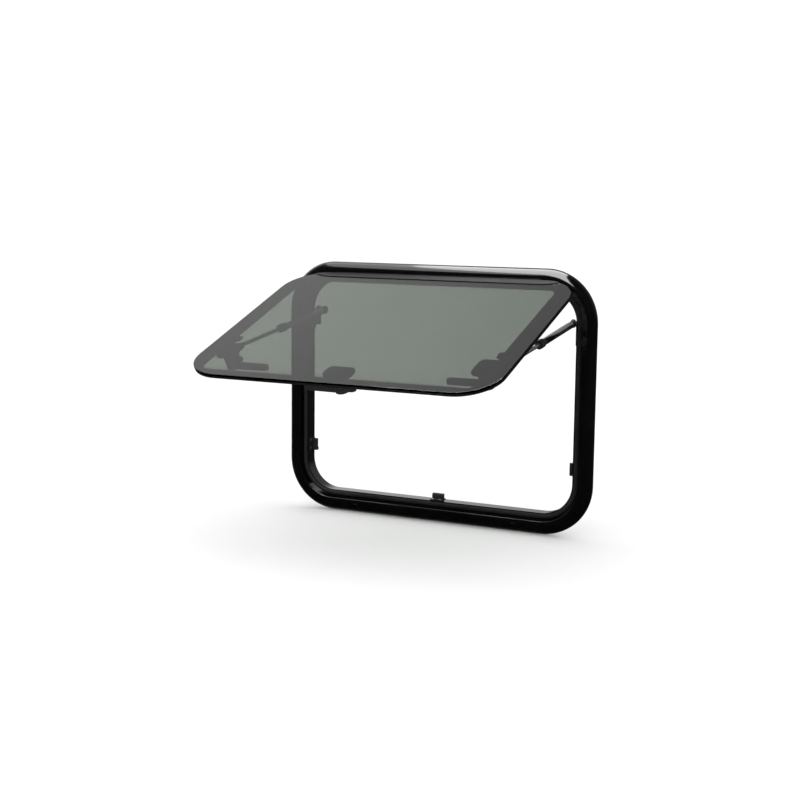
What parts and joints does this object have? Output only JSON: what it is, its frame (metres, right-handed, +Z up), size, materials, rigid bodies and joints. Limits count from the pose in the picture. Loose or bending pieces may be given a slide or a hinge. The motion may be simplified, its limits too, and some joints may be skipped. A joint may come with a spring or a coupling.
{
  "type": "top-hung caravan window",
  "caption": "Top-hung caravan window: a black radius-corner frame, a tinted glass sash hinged at the head, telescopic stays and lever latches with keepers.",
  "frame": {"origin": "centre of the window on the wall's outer face, where the flange's sealing face rests", "axes": "+X along the head, +Z up, +Y into the wall, towards the inside"},
  "size_m": [0.65, 0.4711, 0.5],
  "materials": {
    "frame_black": "gloss black coat",
    "hinge_black": "satin black anodised extrusion",
    "seal_rubber": "matt black extruded rubber",
    "butyl_tape": "dull grey sealing tape",
    "bare_aluminium": "bare mill finish",
    "zinc_steel": "bright zinc-plated",
    "tinted_glass": "grey-green body tint, polished",
    "rim_black": "satin black moulding",
    "latch_plastic": "fine-grained black moulding",
    "washer_plastic": "smooth dark acetal",
    "bracket_black": "satin black powder coat",
    "stay_tube_metal": "bright polished tube",
    "stay_rod_metal": "bright ground steel rod",
    "button_grey": "smooth dark grey push button"
  },
  "bodies": {
    "frame": {"outer_frame": "frame_black", "wall_seal_tape": "butyl_tape", "recess_seal": "seal_rubber", "frame_splice_plate": "bare_aluminium", "hinge_frame_rail": "hinge_black", "stay_bracket_screws": "zinc_steel", "keeper_screws": "zinc_steel", "hinge_end_cap_left": "hinge_black", "hinge_end_cap_right": "hinge_black", "keeper_left": "latch_plastic", "keeper_right": "latch_plastic", "keeper_sill": "latch_plastic", "stay_frame_bracket_left": "bracket_black", "stay_frame_bracket_right": "bracket_black", "stay_frame_pin_left": "zinc_steel", "stay_frame_pin_right": "zinc_steel"},
    "sash": {"hinge_sash_rail": "hinge_black", "sash_glass": "tinted_glass", "sash_rim": "rim_black", "rim_bond_tape": "seal_rubber", "bond_pads": "seal_rubber", "stay_sash_bracket_left": "bracket_black", "stay_sash_bracket_right": "bracket_black", "stay_sash_pin_left": "zinc_steel", "stay_sash_pin_right": "zinc_steel", "latch_base_left": "latch_plastic", "latch_base_right": "latch_plastic", "latch_base_sill": "latch_plastic", "latch_washer_left": "washer_plastic", "latch_washer_right": "washer_plastic", "latch_washer_sill": "washer_plastic", "latch_pivot_screw_left": "zinc_steel", "latch_pivot_screw_right": "zinc_steel", "latch_pivot_screw_sill": "zinc_steel"},
    "stay_tube_left": {"stay_end_eye_left": "latch_plastic", "stay_tube_left": "stay_tube_metal", "stay_collar_left": "latch_plastic"},
    "stay_rod_left": {"stay_rod_left": "stay_rod_metal", "stay_friction_bush_left": "latch_plastic", "stay_rod_eye_left": "latch_plastic", "stay_rod_pin_left": "zinc_steel"},
    "stay_tube_right": {"stay_end_eye_right": "latch_plastic", "stay_tube_right": "stay_tube_metal", "stay_collar_right": "latch_plastic"},
    "stay_rod_right": {"stay_rod_right": "stay_rod_metal", "stay_friction_bush_right": "latch_plastic", "stay_rod_eye_right": "latch_plastic", "stay_rod_pin_right": "zinc_steel"},
    "latch_lever_left": {"latch_lever_left": "latch_plastic"},
    "latch_button_left": {"latch_button_left": "button_grey"},
    "latch_lever_right": {"latch_lever_right": "latch_plastic"},
    "latch_button_right": {"latch_button_right": "button_grey"},
    "latch_lever_sill": {"latch_lever_sill": "latch_plastic"},
    "latch_button_sill": {"latch_button_sill": "button_grey"}
  },
  "joints": [
    {"name": "sash_hinge", "type": "hinge", "parent": "frame", "child": "sash", "pos_m": [0, -0.0121, 0.2268], "axis": [1, 0, 0], "range_deg": [0, 69]},
    {"name": "stay_pivot_left", "type": "hinge", "parent": "frame", "child": "stay_tube_left", "pos_m": [-0.266, 0.03, 0.148], "axis": [1, 0, 0], "range_deg": [0, 75.8]},
    {"name": "stay_slide_left", "type": "slide", "parent": "stay_tube_left", "child": "stay_rod_left", "axis": [0, 0.9888, 0.1495], "range_m": [0, 0.0966]},
    {"name": "stay_pivot_right", "type": "hinge", "parent": "frame", "child": "stay_tube_right", "pos_m": [0.266, 0.03, 0.148], "axis": [1, 0, 0], "range_deg": [0, 75.8]},
    {"name": "stay_slide_right", "type": "slide", "parent": "stay_tube_right", "child": "stay_rod_right", "axis": [0, 0.9888, 0.1495], "range_m": [0, 0.0966]},
    {"name": "latch_turn_left", "type": "hinge", "parent": "sash", "child": "latch_lever_left", "pos_m": [-0.25, -0.32939, 0.07448], "axis": [0, -0.3584, 0.9336], "range_deg": [0, 90]},
    {"name": "latch_push_left", "type": "slide", "parent": "latch_lever_left", "child": "latch_button_left", "axis": [0, -0.3584, 0.9336], "range_m": [0, 0.002], "stiffness_N_per_m": 500, "springref_m": -0.001},
    {"name": "latch_turn_right", "type": "hinge", "parent": "sash", "child": "latch_lever_right", "pos_m": [0.25, -0.32939, 0.07448], "axis": [0, 0.3584, -0.9336], "range_deg": [0, 90]},
    {"name": "latch_push_right", "type": "slide", "parent": "latch_lever_right", "child": "latch_button_right", "axis": [0, -0.3584, 0.9336], "range_m": [0, 0.002], "stiffness_N_per_m": 500, "springref_m": -0.001},
    {"name": "latch_turn_sill", "type": "hinge", "parent": "sash", "child": "latch_lever_sill", "pos_m": [0.002, -0.37793, 0.05584], "axis": [0, 0.3584, -0.9336], "range_deg": [0, 90]},
    {"name": "latch_push_sill", "type": "slide", "parent": "latch_lever_sill", "child": "latch_button_sill", "axis": [0, -0.3584, 0.9336], "range_m": [0, 0.002], "stiffness_N_per_m": 500, "springref_m": -0.001}
  ],
  "couplings": [
    {"joint": "stay_pivot_left", "follows": "sash_hinge", "ratio": 1.0938},
    {"joint": "stay_slide_left", "follows": "sash_hinge", "m_per_rad": 0.079953},
    {"joint": "stay_pivot_right", "follows": "sash_hinge", "ratio": 1.0938},
    {"joint": "stay_slide_right", "follows": "sash_hinge", "m_per_rad": 0.079953}
  ]
}
